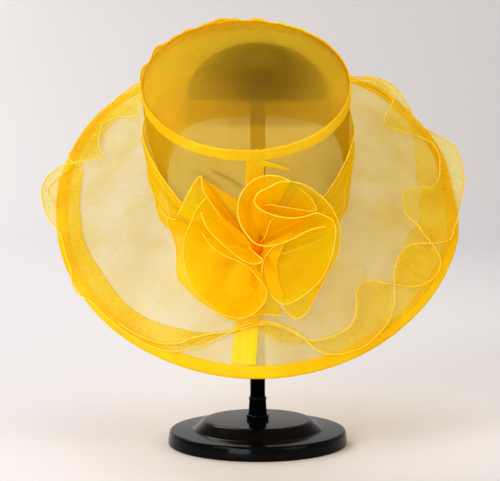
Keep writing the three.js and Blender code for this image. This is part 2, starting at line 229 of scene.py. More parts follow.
def noiseOn(tree, coordinates, scale, stretch=(1, 1, 1), detail=2):
    mapping = tree.nodes.new("ShaderNodeMapping")
    mapping.inputs["Scale"].default_value = stretch
    join(tree, coordinates, mapping.inputs["Vector"])
    noise = tree.nodes.new("ShaderNodeTexNoise")
    noise.inputs["Scale"].default_value = scale
    noise.inputs["Detail"].default_value = detail
    join(tree, mapping.outputs["Vector"], noise.inputs["Vector"])
    return noise.outputs["Fac"]


def organza(name, looks):
    # Fine open cloth: part of each view passes between the threads, and the threads light up from both sides.
    material, tree, output = newMaterial(name)
    nodes = tree.nodes
    coordinates = nodes.new("ShaderNodeTexCoord")
    cut, place = coordinates.outputs["UV"], coordinates.outputs["Object"]
    streaks = noiseOn(tree, cut, looks["streaks"], looks["run"], 4)
    grain = noiseOn(tree, place, looks["grainScale"], detail=1)
    cloudy = noiseOn(tree, place, looks["cloudScale"], detail=3)
    shaded = nodes.new("ShaderNodeAttribute")  # painted shade, 0 to 1, on the pieces that have a shadeAt: it turns both colours towards shadeColor and shows less of what is behind
    shaded.attribute_name = "shaded"

    front = nodes.new("ShaderNodeBsdfDiffuse")
    back = nodes.new("ShaderNodeBsdfTranslucent")
    for shader, face in ((front, "front"), (back, "back")):
        lit = nodes.new("ShaderNodeMix")
        lit.data_type = "RGBA"
        join(tree, shaded.outputs["Fac"], lit.inputs["Factor"])
        join(tree, ramped(tree, cloudy, *looks["cloudRange"], looks[face + "Deep"], looks[face]), lit.inputs["A"])
        lit.inputs["B"].default_value = (*looks["shadeColor"], 1)
        join(tree, lit.outputs["Result"], shader.inputs["Color"])
    shine = nodes.new("ShaderNodeBsdfGlossy")
    shine.inputs["Color"].default_value = (*looks["shineColor"], 1)
    shine.inputs["Roughness"].default_value = looks["shineRough"]
    threads = mixed(tree, looks["throughShare"], front.outputs["BSDF"], back.outputs["BSDF"])
    threads = mixed(tree, looks["shine"], threads, shine.outputs["BSDF"])

    bands = []
    for axis in ("X", "Y"):
        wave = nodes.new("ShaderNodeTexWave")
        wave.bands_direction = axis
        wave.inputs["Scale"].default_value = 1 / (looks["thread"] * milli) / 6.28
        wave.inputs["Distortion"].default_value = 0.6
        join(tree, cut, wave.inputs["Vector"])
        bands.append(wave.outputs["Fac"])
    weave = reckoned(tree, "MULTIPLY", *bands)
    bumped(tree, weave, looks["bump"], (front, back, shine))

    opening = ranged(tree, streaks, (0.3, 0.7), (looks["gapLeast"], looks["gapMost"]))  # streaks are thinner cloth
    for pattern, share in ((weave, "weaveShare"), (grain, "grain"), (cloudy, "patchy")):
        opening = reckoned(tree, "MULTIPLY_ADD", pattern, looks[share], opening)
    cover = reckoned(tree, "MULTIPLY_ADD", shaded.outputs["Fac"], -looks["shadeCover"], 1.0)
    clear = nodes.new("ShaderNodeBsdfTransparent")
    clear.inputs["Color"].default_value = (*looks["clear"], 1)
    sheer = mixed(tree, reckoned(tree, "MULTIPLY", opening, cover), threads, clear.outputs["BSDF"])
    join(tree, sheer, output.inputs["Surface"])
    return material


# One surface is crossed twice in each layer of cloth, so these are for one crossing.
sheerLooks = {
    "front": (0.93, 0.81, 0.45), "frontDeep": (0.88, 0.73, 0.29),
    "back": (0.95, 0.84, 0.5), "backDeep": (0.9, 0.76, 0.32), "cloudScale": 22, "cloudRange": (0.35, 0.68),
    "shadeColor": (0.34, 0.19, 0.006), "shadeCover": 0.42,
    "throughShare": 0.7, "shine": 0.025, "shineColor": (1, 0.85, 0.45), "shineRough": 0.35, "bump": (0.25, 0.1),
    "thread": 0.45, "streaks": 22, "run": (1, 0.35, 1), "grain": 0.1, "grainScale": 800, "patchy": 0.55,
    "gapLeast": 0.0, "gapMost": 0.25, "weaveShare": 0.04, "clear": (1, 1, 0.93),
}
crownLooks = dict(
    sheerLooks, front=(0.8, 0.52, 0.02), frontDeep=(0.75, 0.47, 0.01),
    back=(0.9, 0.72, 0.05), backDeep=(0.86, 0.66, 0.03), throughShare=0.8, streaks=40, grain=0.18,
    patchy=0.14, gapLeast=0.34, gapMost=0.47, clear=(0.98, 0.925, 0.5),
)
hemLooks = dict(
    sheerLooks, front=(1.0, 0.79, 0.012), frontDeep=(1.0, 0.68, 0.005),
    back=(1.0, 0.86, 0.02), backDeep=(1.0, 0.78, 0.01), throughShare=0.4, streaks=40,
    run=(0.12, 2.4, 1), shineColor=(1, 0.8, 0.15), patchy=0.2, gapLeast=0.1, gapMost=0.32, clear=(1, 0.95, 0.4),
)
tipLooks = dict(
    crownLooks, front=(0.86, 0.51, 0.03), frontDeep=(0.82, 0.46, 0.02),
    back=(1.0, 0.94, 0.26), backDeep=(1.0, 0.88, 0.2),
    throughShare=0.7, shineColor=(1, 0.8, 0.15), clear=(0.98, 0.93, 0.54),
)
bindingLooks = dict(
    hemLooks, front=(1.0, 0.78, 0.03), frontDeep=(1.0, 0.67, 0.01),
    back=(1.0, 0.86, 0.04), backDeep=(1.0, 0.76, 0.02), gapLeast=0.14, gapMost=0.38, clear=(1, 0.95, 0.5),
)
seamLooks = dict(
    bindingLooks, front=(1.0, 0.81, 0.03), frontDeep=(1.0, 0.72, 0.01),
    run=(2.4, 0.12, 1), gapLeast=0.08, gapMost=0.34,
)
sashLooks = dict(
    hemLooks, front=(1.0, 0.76, 0.01), frontDeep=(0.98, 0.69, 0.005),
    back=(1.0, 0.79, 0.02), backDeep=(0.99, 0.72, 0.01),
    patchy=0.24, gapLeast=0.18, gapMost=0.54, clear=(1, 0.93, 0.5),
)
ribbonLooks = dict(
    sheerLooks, front=(0.98, 0.83, 0.05), frontDeep=(0.96, 0.77, 0.03), streaks=40,
    back=(0.99, 0.87, 0.1), backDeep=(0.97, 0.81, 0.06),
    patchy=0.2, gapLeast=0.44, gapMost=0.64, clear=(1, 0.98, 0.82),
)
flowerLooks = dict(
    hemLooks, front=(0.98, 0.8, 0.0), frontDeep=(0.98, 0.64, 0.0), streaks=26, run=(1, 0.35, 1), grain=0.04,
    back=(1.0, 0.86, 0.0), backDeep=(1.0, 0.7, 0.0), patchy=0.26, gapLeast=0.38, gapMost=0.58, clear=(1, 0.94, 0.45),
)
deepLooks = dict(
    flowerLooks, front=(1.0, 0.73, 0.0), frontDeep=(1.0, 0.66, 0.0),
    back=(1.0, 0.76, 0.0), backDeep=(1.0, 0.68, 0.0), gapLeast=0.34, gapMost=0.46,
)
airyLooks = dict(flowerLooks, front=(0.95, 0.8, 0.0), frontDeep=(0.93, 0.66, 0.0), gapLeast=0.52, gapMost=0.7)
heartLooks = dict(
    deepLooks, front=(1.0, 0.42, 0.0), frontDeep=(0.95, 0.36, 0.0), back=(1.0, 0.5, 0.0), backDeep=(0.98, 0.42, 0.0),
    gapLeast=0.2, gapMost=0.3,
)
brimLooks = dict(sheerLooks, shadeColor=(0.79, 0.6, 0.05))  # its shaded side is a deeper yellow, not brown
brimCloth = organza("pale single organza", brimLooks)
crownCloth = organza("crown organza", crownLooks)
tipCloth = organza("crown tip organza", tipLooks)
hemCloth = organza("folded organza", hemLooks)
bindingCloth = organza("bias organza", bindingLooks)
seamCloth = organza("seam organza", seamLooks)
sashCloth = organza("gathered organza", sashLooks)
ribbonCloth = organza("ruffle organza", ribbonLooks)
flowerCloth = organza("flower organza", flowerLooks)
deepCloth = organza("gathered flower organza", deepLooks)
airyCloth = organza("open flower organza", airyLooks)
heartCloth = organza("knotted flower organza", heartLooks)


def wrappedThread(name, looks):  # the close stitches round a rolled edge
    material, tree, output = newMaterial(name)
    shader = tree.nodes.new("ShaderNodeBsdfPrincipled")
    shader.inputs["Roughness"].default_value = looks["rough"]
    place = tree.nodes.new("ShaderNodeTexCoord").outputs["Object"]
    tone = noiseOn(tree, place, looks["toneScale"], detail=3)
    join(tree, ramped(tree, tone, 0.3, 0.7, looks["deep"], looks["bright"]), shader.inputs["Base Color"])
    bumped(tree, noiseOn(tree, place, looks["stitchScale"], detail=1), looks["bump"], (shader,))
    glow = tree.nodes.new("ShaderNodeBsdfTranslucent")
    glow.inputs["Color"].default_value = (*looks["bright"], 1)
    lit = mixed(tree, looks["glow"], shader.outputs["BSDF"], glow.outputs["BSDF"])
    join(tree, lit, output.inputs["Surface"])
    return material


edgeLooks = {
    "rough": 0.45, "bright": (1.0, 0.8, 0.05), "deep": (1.0, 0.66, 0.01), "glow": 0.35,
    "toneScale": 90, "stitchScale": 1400, "bump": (0.45, 0.2),
}
edgeThread = wrappedThread("rolled edge", edgeLooks)


def blackPlastic(name, looks):
    material, tree, output = newMaterial(name)
    shader = tree.nodes.new("ShaderNodeBsdfPrincipled")
    shader.inputs["Base Color"].default_value = (*looks["color"], 1)
    shader.inputs["IOR"].default_value = looks["bend"]
    place = tree.nodes.new("ShaderNodeTexCoord").outputs["Object"]
    smears = noiseOn(tree, place, looks["smearScale"], detail=4)
    join(tree, ranged(tree, smears, (0, 1), looks["rough"]), shader.inputs["Roughness"])
    bumped(tree, noiseOn(tree, place, looks["flowScale"]), looks["bump"], (shader,))
    join(tree, shader.outputs["BSDF"], output.inputs["Surface"])
    return material


plasticLooks = {
    "color": (0.001, 0.001, 0.0012), "bend": 1.16, "rough": (0.1, 0.2), "smearScale": 18, "flowScale": 35,
    "bump": (0.12, 0.4),
}
standPlastic = blackPlastic("gloss black plastic", plasticLooks)
print("materials made")


# Stand

stand = {
    "baseRadius": 84, "baseHeight": 13.5, "footRound": 1.5, "shoulder": 3,
    "draw": ((0.1, 2), (0.3, 4.5), (0.6, 7)),  # how far the base's side draws in, and at what height over its foot
    "discFoot": 59, "discTop": 48.5, "discLevel": 23, "discRound": (6, 5),
    "collarRadius": 10.8, "collarHigh": 4.2, "collarClear": 0.7, "lowerPost": 8.3, "lowerFlare": 0.6,
    "lowerDraw": 0.4, "lipHigh": 2.6, "lipRound": 0.8, "step": 44, "upperPost": 7.1, "gap": 0.3,
    "domeRadius": 67, "domeFoot": 321.5, "domeRise": 53, "wall": 2.5,
}


def turned(name, profile, node):  # a profile of radius and height, turned round the post
    shape = bmesh.new()
    verts = [shape.verts.new((r * milli, 0, z * milli)) for r, z in profile]
    edges = [shape.edges.new(pair) for pair in zip(verts, verts[1:])]
    bmesh.ops.spin(shape, geom=verts + edges, cent=(0, 0, 0), axis=(0, 0, 1), angle=2 * math.pi, steps=128,
                   use_merge=True)
    bmesh.ops.remove_doubles(shape, verts=shape.verts, dist=0.000005)
    bmesh.ops.recalc_face_normals(shape, faces=shape.faces)
    mesh = bpy.data.meshes.new(name)
    shape.to_mesh(mesh)
    shape.free()
    mesh.shade_smooth()
    made = linked(name, mesh, [standPlastic])
    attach(made, "root")
    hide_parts(node)
    return made


def arc(middle, radii, start, end, steps):  # points on a quarter or part of an ellipse
    turns = [math.radians(between(start, end, k / steps)) for k in range(steps + 1)]
    return [(middle[0] + radii[0] * math.cos(a), middle[1] + radii[1] * math.sin(a)) for a in turns]


rim, top, foot, shoulder = (stand[part] for part in ("baseRadius", "baseHeight", "footRound", "shoulder"))
baseProfile = [(0, 0), (rim - foot - 0.5, 0)]
baseProfile += arc((rim - foot, foot), (foot, foot), -70, 0, 4)
baseProfile += [(rim - inward, foot + rise) for inward, rise in stand["draw"]]
baseProfile += arc((rim - shoulder - 1, top - shoulder), (shoulder, shoulder), 6, 90, 8)
baseProfile += arc((stand["discFoot"] + shoulder, top + shoulder), (shoulder, shoulder), -90, -150, 5)
baseProfile += arc((stand["discTop"] - 1, stand["discLevel"] - stand["discRound"][1]), stand["discRound"], 35, 90, 6)
baseProfile += [(0, stand["discLevel"])]
turned("standBase", baseProfile, "stand_base")

low, bore = stand["discLevel"] + stand["gap"], stand["lowerPost"] + stand["collarClear"]
collarProfile = [(bore, low), (stand["collarRadius"] - 0.6, low)]
collarProfile += arc((stand["collarRadius"] - 1.2, low + stand["collarHigh"] - 1.3), (1.2, 1.3), 0, 90, 5)
collarProfile += [(bore, low + stand["collarHigh"]), (bore, low)]
turned("standCollar", collarProfile, "stand_collar")

post, step, lipFoot = stand["lowerPost"], stand["step"], stand["step"] - stand["lipHigh"]
lowerProfile = [(0, low), (post + stand["lowerFlare"], low), (post - stand["lowerDraw"], lipFoot - 0.4)]
lowerProfile += [(post, lipFoot), (post, step - 1)]
lowerProfile += arc((post - stand["lipRound"], step - stand["lipRound"]), (stand["lipRound"],) * 2, 0, 90, 4)
lowerProfile += [(0, step)]
turned("standLowerPost", lowerProfile, "stand_lower_post")

ceiling = stand["domeFoot"] + stand["domeRise"] - stand["wall"] - 1
upperProfile = [(0, step + stand["gap"]), (stand["upperPost"], step + stand["gap"])]
upperProfile += [(stand["upperPost"], ceiling), (0, ceiling)]
turned("standUpperPost", upperProfile, "stand_upper_post")

inner = stand["domeRadius"] - stand["wall"]
domeProfile = arc((0, stand["domeFoot"]), (stand["domeRadius"], stand["domeRise"]), 90, 0, 24)
domeProfile += arc((0, stand["domeFoot"]), (inner, stand["domeRise"] - stand["wall"]), 0, 90, 24)
domeProfile[0] = (0, domeProfile[0][1])
domeProfile[-1] = (0, domeProfile[-1][1])
turned("standDome", domeProfile, "stand_dome")
print("stand made")


# The hat's own frame: x to the viewer's right, y to the back, z up the crown, tilted forwards on the dome.

hat = {
    "x": -2, "y": 20, "z": 250, "tilt": math.radians(47),
    "openWidth": 83, "openFront": 96, "openBack": 74, "square": 1.9,
    "topRadius": 91.2, "topHeight": 124, "frontRise": 13, "topX": -9, "topY": 2.2,
    "wallClear": 2.1, "tipClear": 1.1, "below": 24, "soft": 4,
    "brimRadius": 194.5, "brimDrop": 60, "brimX": 1.5, "brimY": 11,
    "flareBack": 0.045, "flareAngle": 132, "flareWide": 26, "flareFront": 0.02, "flareFrontWide": 40,
    "bindingAbove": 2.5, "bindingBelow": 10, "hemShare": 0.895,
}
tiltSin, tiltCos = math.sin(hat["tilt"]), math.cos(hat["tilt"])


def onStand(points):  # from the hat's frame to the stand's
    x, y, z = points[..., 0], points[..., 1], points[..., 2]
    up = y * tiltSin + z * tiltCos + hat["z"]
    return np.stack([x + hat["x"], y * tiltCos - z * tiltSin + hat["y"], up], axis=-1)


def domeReach(start, line, clearance):  # how far a line from inside runs before it leaves the dome's cover
    begin = onStand(start) - np.array([0, 0, stand["domeFoot"]])
    x, y, z = line[..., 0], line[..., 1], line[..., 2]
    turnedLine = np.stack([x, y * tiltCos - z * tiltSin, y * tiltSin + z * tiltCos], axis=-1)
    wide = stand["domeRadius"] + clearance
    reaches = []
    for rise in (stand["domeRise"] + clearance, hat["below"]):
        scale = np.array([1 / wide, 1 / wide, 1 / rise])
        s, d = begin * scale, turnedLine * scale
        along, long = (s * d).sum(-1), (d * d).sum(-1)
        inside = along ** 2 - long * ((s * s).sum(-1) - 1)
        reaches.append(np.where(inside > 0, (-along + np.sqrt(np.maximum(inside, 0))) / long, 0))
    above = begin[..., 2] + reaches[0] * turnedLine[..., 2] > 0
    return np.where(reaches[0] <= 0, 0, np.where(above, reaches[0], reaches[1]))


def softMost(a, b):
    return (a + b + np.hypot(a - b, hat["soft"])) / 2 - hat["soft"] * 0.1


def rimHeight(angle):
    return hat["topHeight"] + hat["frontRise"] * np.cos(np.radians(angle))


def crownPoint(angle, z, out=0.0):
    angle, z = np.broadcast_arrays(np.asarray(angle, float), np.asarray(z, float))
    t = z / rimHeight(angle)
    sin, cos = np.sin(np.radians(angle)), np.cos(np.radians(angle))
    power = 2 + hat["square"] * (1 - t) * (0.5 - 0.5 * cos)
    full = (np.abs(sin) ** power + np.abs(cos) ** power) ** (-1 / power)
    wide = between(hat["openWidth"], hat["topRadius"], np.minimum(1, 1.6 * t))
    deep = between((hat["openFront"] + hat["openBack"]) / 2, hat["topRadius"], t)
    middleY = between((hat["openBack"] - hat["openFront"]) / 2, hat["topY"], t)
    middle = np.stack([hat["topX"] * t, middleY, z], axis=-1)
    line = np.stack([wide * full * sin, -deep * full * cos, np.zeros_like(z)], axis=-1)
    length = np.linalg.norm(line, axis=-1)
    line = line / length[..., None]
    held = softMost(length, domeReach(middle, line, hat["wallClear"]))
    held = between(held, length, np.clip(t, 0, 2) ** 6)
    return middle + line * (held + out)[..., None]


def brimPoint(angle, share, lift=0.0):
    angle, share = np.broadcast_arrays(np.asarray(angle, float), np.asarray(share, float))
    a = np.radians(angle)
    fromFront = np.abs((angle + 180) % 360 - 180)
    back = hat["flareBack"] * np.exp(-((fromFront - hat["flareAngle"]) / hat["flareWide"]) ** 2)
    front = hat["flareFront"] * np.exp(-(fromFront / hat["flareFrontWide"]) ** 2)
    reach = hat["brimRadius"] * (1 + back + front)
    inner = crownPoint(angle, 0.5, 1.35)
    outer = np.stack([
        hat["brimX"] + reach * np.sin(a), hat["brimY"] - reach * np.cos(a), np.full_like(a, -hat["brimDrop"]),
    ], axis=-1)
    slope = math.atan2(hat["brimDrop"], hat["brimRadius"] - hat["openFront"])
    up = np.stack([
        math.sin(slope) * np.sin(a), -math.sin(slope) * np.cos(a), np.full_like(a, math.cos(slope)),
    ], axis=-1)
    return between(inner, outer, share[..., None]) + up * np.asarray(lift)[..., None]


# Crown

crown = {"dents": 1.0, "creases": 0.35, "tipSwell": 0.35, "tipCreases": 0.2}


def wallPoint(angle, z, out=0.0):  # the crown's wall with its soft dents, for all that is sewn on it
    smooth = crownPoint(angle, z, 0)
    t = np.asarray(z) / rimHeight(angle)
    calm = 1 - ease(0.75, 1.0, t)
    dent = crown["dents"] * waves(smooth, 70, 11, (1, 1, 0.7)) * calm
    line = crown["creases"] * creases(smooth, 55, 12) * calm
    return crownPoint(angle, z, out + dent + line)


def crownSidePlace(u, v):
    angle = -360 * u
    return onStand(wallPoint(angle, v ** 1.2 * (rimHeight(angle) - 0.4)))


crownFoldShadeLines = [  # painted shade lines low in the front, standing in for soft folds that the wall's shape doesn't have, as lines across and up: start, end, sag, width and depth of the shade
    ((-44, 262), (-9, 243), 2.5, 1.7, 0.55), ((-60, 261), (-27, 243), 2, 2.4, 0.3),
]
crownRight = {"deep": 0.3, "across": (22, 72), "behind": 60}  # the wall's shade on the side away from the light


# painted shade on the crown's front wall: dark lines along the listed fold lines, and its right side darker
def paintedWallShade(points):
    shade = np.zeros(len(points))
    for (fromX, fromZ), (toX, toZ), sag, wide, deep in crownFoldShadeLines:
        t = (points[:, 0] - fromX) / (toX - fromX)
        line = between(fromZ, toZ, t) + sag * np.sin(math.pi * np.clip(t, 0, 1))
        here = np.exp(-((points[:, 2] - line) / wide) ** 2) * ease(0, 0.25, t) * (1 - ease(0.8, 1, t))
        shade += deep * here * (points[:, 1] < 0)
    right = crownRight["deep"] * ease(*crownRight["across"], points[:, 0]) * (points[:, 1] < crownRight["behind"])
    return np.clip(shade + right, 0, 1)


crownSide = cloth("crownSide", 320, 84, crownSidePlace, (0.13, 0.57), crownCloth, shadeAt=paintedWallShade)
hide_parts("crown_side")


def tipHeight(x, y):
    flat = hat["topHeight"] - hat["frontRise"] * (y - hat["topY"]) / hat["topRadius"]
    foot = np.stack([x, y, np.zeros_like(x)], axis=-1)
    up = np.broadcast_to(np.array([0.0, 0, 1]), foot.shape)
    edge = ease(hat["topRadius"] * 0.55, hat["topRadius"], np.hypot(x - hat["topX"], y - hat["topY"]))
    return between(softMost(flat, domeReach(foot, up, hat["tipClear"])), flat, edge)


def tipPlace(u, v):
    a, r = 2 * math.pi * u, v * hat["topRadius"]
    x, y = hat["topX"] + r * np.sin(a), hat["topY"] - r * np.cos(a)
    height = tipHeight(x, y)
    points = np.stack([x, y, height], axis=-1)
    calm = 1 - ease(0.8, 1.0, v)
    loose = crown["tipSwell"] * waves(points, 45, 21) + crown["tipCreases"] * creases(points, 50, 22)
    points[..., 2] += calm * loose
    return onStand(points)


def tipCut(u, v):
    a = 2 * math.pi * u
    return np.stack([v * np.sin(a), v * np.cos(a)], axis=-1) * hat["topRadius"] * milli


domeShade = {  # painted shade on the tip: the dome's shade, a band of shadow below it, a lighter shade below that and a little over all but the top; in mm across and up from the dome's foot
    "side": 0.2, "reach": (0.78, 1.08), "coreAcross": 8, "coreWide": 46, "coreUp": 6, "coreHigh": 27, "foot": (-8, 0),
    "band": 0.34, "bandFoot": (-28, -21), "bandWide": (58, 76), "opening": 0.26, "openingWide": (50, 80),
    "low": 0.06, "lowTop": (30, 50),
}


def tipShade(points):
    look, across, up = domeShade, points[:, 0], points[:, 2] - stand["domeFoot"] - 2
    reach = np.hypot(across / stand["domeRadius"], np.maximum(up, 0) / stand["domeRise"])
    core = np.exp(-((across - look["coreAcross"]) / look["coreWide"]) ** 2)
    dark = look["side"] + (1 - look["side"]) * core * np.exp(-((up - look["coreUp"]) / look["coreHigh"]) ** 2)
    aboveFoot, aboveBand = ease(*look["foot"], up), ease(*look["bandFoot"], up)
    dome = (1 - ease(*look["reach"], reach)) * dark * aboveFoot
    band = look["band"] * (1 + core) * aboveBand * (1 - aboveFoot) * (1 - ease(*look["bandWide"], np.abs(across)))
    opening = look["opening"] * (1 - aboveBand) * (1 - ease(*look["openingWide"], np.abs(across)))
    return np.clip(dome + band + opening + look["low"] * (1 - ease(*look["lowTop"], up)), 0, 1)


crownTip = cloth("crownTip", 200, 64, tipPlace, (0.182, 0.182), tipCloth, cutAt=tipCut, shadeAt=tipShade)
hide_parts("crown_tip")

bindingFold = {
    "inside": 3.2, "wavy": 1.3, "rows": 14, "waveAngle": 215, "waveWide": 75, "foldAt": 0.62, "foldBy": 0.76,
}


def bindingRipple(angle):  # the back of the binding stands in small uneven waves
    place = np.abs((angle - bindingFold["waveAngle"] + 180) % 360 - 180)
    ring = np.stack([np.sin(np.radians(angle)), np.cos(np.radians(angle)), 0 * angle], axis=-1) * hat["topRadius"]
    share = 0.15 + 0.85 * np.exp(-(place / bindingFold["waveWide"]) ** 4)
    return bindingFold["wavy"] * share * waves(ring, 24, 32)


def bindingPlace(u, v):
    angle = -360 * u
    foldAt, foldBy = bindingFold["foldAt"], bindingFold["foldBy"]
    turn = np.clip((v - foldAt) / (foldBy - foldAt), 0, 1) * math.pi  # up the outside, over the fold, down the inside
    outside = ease(0, foldAt, v) * 0.4 + np.clip(v / foldAt, 0, 1) * 0.6
    rise = between(-hat["bindingBelow"], hat["bindingAbove"] - 0.7, outside) + 0.7 * np.sin(turn)
    downInside = np.clip((v - foldBy) / (1 - foldBy), 0, 1) * bindingFold["inside"]
    z = rimHeight(angle) + rise - downInside
    ripple = bindingRipple(angle) * ease(0.2, 0.7, v)
    out = 0.95 + 0.35 * np.cos(turn) + 0.5 * ripple
    points = crownPoint(angle, z + 0.6 * ripple, out)
    return onStand(points + 0.12 * waves(points, 9, 31)[..., None])


binding = cloth("crownBinding", 360, bindingFold["rows"], bindingPlace, (0.018, 0.58), bindingCloth)
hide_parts("crown_binding")

seam = {"foot": -2.5, "binding": 5, "brimEdge": -4, "crownWide": 16, "brimWide": 22}


def crownSeamPlace(u, v):
    z = between(2.5, rimHeight(0) - hat["bindingBelow"] - 0.3, v)
    half = math.degrees(seam["crownWide"] / 2 / hat["topRadius"])
    angle = between(seam["foot"], seam["binding"], v) + between(half, -half, u)
    return onStand(wallPoint(angle, z, 0.8 + 0.25 * np.sin(u * math.pi * 3) ** 2))


crownSeam = cloth("crownSeam", 24, 70, crownSeamPlace, (0.12, 0.016), seamCloth)
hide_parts("crown_seam")

looseEnd = {"from": 8, "to": 22, "drop": 13, "width": 7, "lift": 3}


def looseEndPlace(u, v):
    angle = between(looseEnd["from"], looseEnd["to"], u)
    drop = looseEnd["drop"] * u ** 1.4 + looseEnd["width"] * (1 - 0.6 * u) * v
    z = rimHeight(angle) - hat["bindingBelow"] - 0.3 - drop
    return onStand(crownPoint(angle, z, 1.3 + looseEnd["lift"] * u + 0.3 * np.sin(6 * v)))


bindingEnd = cloth("bindingEnd", 30, 6, looseEndPlace, (0.003, 0.022), hemCloth)
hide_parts("binding_end")
print("crown made")


# Brim

brimWorks = {"swell": 1.3, "creases": 0.6, "shade": 0.48, "shadeAcross": (-30, 50), "columns": 320, "rows": 60}


def brimSurface(angle, share, lift=0.0):  # the brim with its swell and creases, for all that lies on it
    smooth = brimPoint(angle, share, 0)
    free = ease(0.0, 0.35, share)
    swell = brimWorks["swell"] * free * waves(smooth, 110, 41)
    line = brimWorks["creases"] * free * creases(smooth, 70, 42) * (1 - ease(0.8, 0.9, share))
    return brimPoint(angle, share, lift + swell + line)


def brimPlace(u, v):
    return onStand(brimSurface(-360 * u, 1 - v))


def brimShade(points):  # the right side lies away from the light, and looks yellower
    return brimWorks["shade"] * ease(*brimWorks["shadeAcross"], points[:, 0])


brim = cloth(
    "brimSheet", brimWorks["columns"], brimWorks["rows"], brimPlace, (0.118, 0.9), brimCloth, shadeAt=brimShade,
)
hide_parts("brim")


hemFold = {"leaf": 0.44, "foldShare": 0.996, "foldRound": 0.006, "lift": 0.75, "ruck": 0.15}


def hemPlace(u, v):  # folded round the brim's edge, with a leaf above and one below
    angle, leafShare = -360 * u, hemFold["leaf"]
    turn = (np.clip((v - leafShare) / (1 - 2 * leafShare), 0, 1) - 0.5) * math.pi
    leaf = np.where(v < 0.5, np.clip(v / leafShare, 0, 1), np.clip((1 - v) / leafShare, 0, 1))
    share = between(hat["hemShare"], hemFold["foldShare"], leaf) + hemFold["foldRound"] * np.cos(turn)
    ruck = hemFold["ruck"] * waves(brimPoint(angle, share), 12, 51)
    return onStand(brimSurface(angle, share, hemFold["lift"] * np.sin(turn) + ruck))


brimHem = cloth("brimHem", 400, 18, hemPlace, (0.026, 1.24), hemCloth)
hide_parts("brim_hem")


def brimSeamPlace(u, v):
    share = between(hat["hemShare"] - 0.006, 0.02, v)
    radius = between(hat["openFront"], hat["brimRadius"], share)
    half = np.degrees(seam["brimWide"] / 2 / radius)
    angle = between(seam["foot"], seam["brimEdge"], share) + between(half, -half, u)
    return onStand(brimSurface(angle, share, 0.8 + 0.2 * np.sin(u * math.pi * 3) ** 2))


brimSeam = cloth("brimSeam", 28, 60, brimSeamPlace, (0.1, 0.022), seamCloth)
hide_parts("brim_seam")
print("brim made")


# Hat band: a sash gathered in pleats, by angle from the front.

bandRows = [  # angle, low edge, high edge, stands off
    (-180, 5, 44, 8.5), (-115, 4, 62, 6), (-88, 3, 74, 9), (-68, 4, 78, 6.5), (-50, 9, 62, 4.5), (-38, 14, 46, 3.4),
    (0, 14, 34, 3.2), (36, 14, 50, 3.4), (50, 9, 66, 4), (68, 4, 81, 4.2), (98, 3, 68, 4), (180, 5, 44, 8.5),
]
band = {"pleats": 3.4, "pleatDeep": 1.5, "edge": 0.75, "flare": 7, "flareAngle": -62, "flareWide": 20}


def bandPoint(angle, v):
    lowEdge, highEdge, off = (through(bandRows, k, angle) for k in (1, 2, 3))
    z = between(lowEdge, highEdge, v)
    bulge = between(2.6, off, np.sin(math.pi * between(0.12, 0.8, v)))
    drift = 0.5 * np.sin(np.radians(angle * 2 + 40)) + 0.3 * np.sin(np.radians(angle * 5))
    bulge = bulge + band["flare"] * np.exp(-((angle - band["flareAngle"]) / band["flareWide"]) ** 2) * (1 - v) ** 1.3
    wave = np.sin(2 * math.pi * (band["pleats"] * v + drift))
    pleat = band["pleatDeep"] * (0.5 * wave + 0.5 * (1 - 2 * np.abs(wave) ** 0.6))
    calm = ease(0, 0.1, v) * (1 - ease(0.92, 1, v))
    smooth = crownPoint(angle, z, bulge)
    ruck = 0.5 * waves(smooth, 30, 61, (1, 1, 2.2))
    return onStand(crownPoint(angle, z, np.maximum(bulge + (pleat + ruck) * calm, 1.2)))


hatBand = cloth("hatBand", 360, 40, lambda u, v: bandPoint(180 - 360 * u, v), (0.06, 0.57), sashCloth)
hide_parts("hat_band")
bandAngles = np.linspace(-180, 180, 361)[:-1]
bandEdges = [
    rolled(name, bandPoint(bandAngles, np.full_like(bandAngles, v)), band["edge"], edgeThread, closed=True)
    for name, v in (("bandLowEdge", 0.0), ("bandHighEdge", 1.0))
]
print("hat band made")


# Ruffle: a ribbon sewn down along its middle, with both rolled edges standing up in waves.

